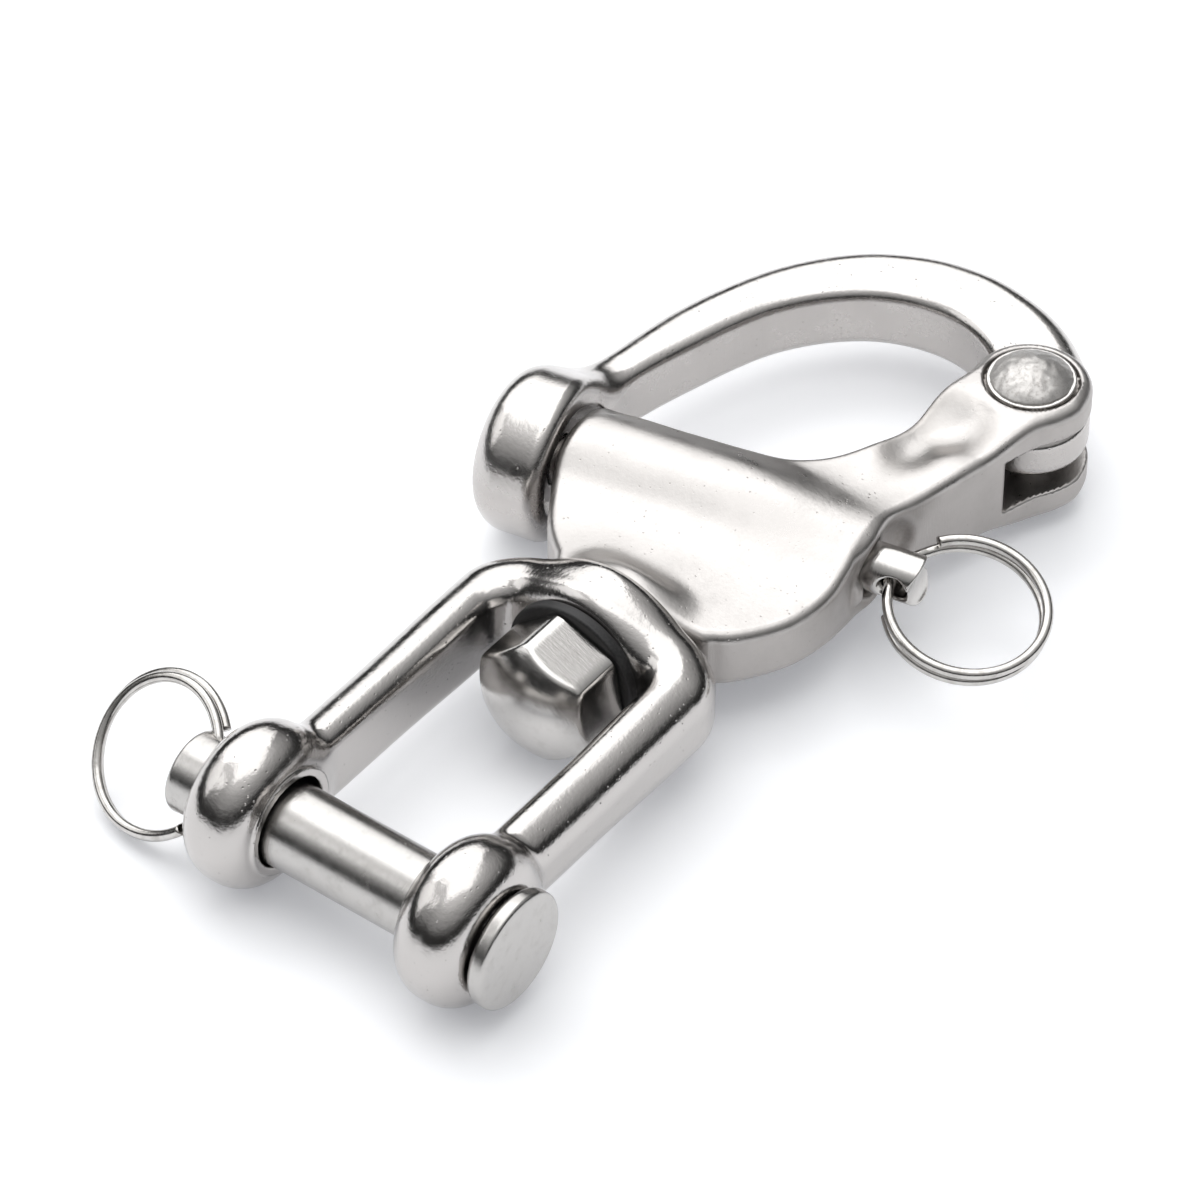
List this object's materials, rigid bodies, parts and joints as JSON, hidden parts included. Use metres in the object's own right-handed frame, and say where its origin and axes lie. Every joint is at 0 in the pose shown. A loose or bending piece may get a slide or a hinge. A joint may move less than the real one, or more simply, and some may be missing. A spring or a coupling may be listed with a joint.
{
  "type": "jaw swivel snap shackle",
  "caption": "Polished stainless snap shackle: a hinged bow latched by a sprung plunger, and a fork jaw with a clevis pin that swivels on the body.",
  "frame": {"origin": "middle of the clevis pin, on its axis", "axes": "+X from the jaw to the bow, +Y along the clevis pin towards its split ring and towards the latch eye, +Z along the bow's hinge rivet"},
  "size_m": [0.1294, 0.0782, 0.02],
  "materials": {
    "cast_steel": "cast stainless steel, tumbled and polished to a satin to bright surface, with small pits left in the recesses",
    "turned_steel": "turned stainless steel with fine tool marks",
    "wire": "bright drawn stainless wire",
    "black_washer": "matt black plastic"
  },
  "bodies": {
    "body": {"main_body": "cast_steel", "pivot_rivet": "turned_steel", "rivet_washer_top": "turned_steel", "rivet_washer_bottom": "turned_steel", "swivel_bolt": "turned_steel", "swivel_washer": "black_washer", "plunger_spring": "wire"},
    "bow": {"bow": "cast_steel"},
    "plunger": {"plunger": "turned_steel"},
    "pull_ring": {"pull_ring": "wire"},
    "jaw": {"jaw": "cast_steel"},
    "clevis_pin": {"clevis_pin": "turned_steel"},
    "clevis_ring": {"clevis_ring": "wire"}
  },
  "joints": [
    {"name": "bow_swing", "type": "hinge", "parent": "body", "child": "bow", "pos_m": [0.1023, -0.018, 0], "axis": [0, 0, -1], "range_deg": [0, 105]},
    {"name": "plunger_pull", "type": "slide", "parent": "body", "child": "plunger", "axis": [0.1822, -0.9833, 0], "range_m": [0, 0.007], "stiffness_N_per_m": 300, "springref_m": -0.008, "deforming": ["plunger_spring"]},
    {"name": "pull_ring_swing", "type": "hinge", "parent": "plunger", "child": "pull_ring", "pos_m": [0.07269, -0.02062, 0], "axis": [0.9727, 0.1803, 0.1461], "range_deg": [-50, 50]},
    {"name": "jaw_swivel", "type": "hinge", "parent": "body", "child": "jaw", "pos_m": [0.043, 0, 0], "axis": [1, 0, 0], "continuous": true},
    {"name": "clevis_pin_spin", "type": "hinge", "parent": "jaw", "child": "clevis_pin", "pos_m": [0, 0, 0], "axis": [0, 1, 0], "continuous": true},
    {"name": "clevis_ring_swing", "type": "hinge", "parent": "clevis_pin", "child": "clevis_ring", "pos_m": [0, 0.02145, -0.0004], "axis": [0.6871, 0, 0.7266], "range_deg": [-50, 50]}
  ],
  "couplings": [
    {"joint": "plunger_pull", "follows": "bow_swing", "m_per_rad": 0.0038}
  ]
}
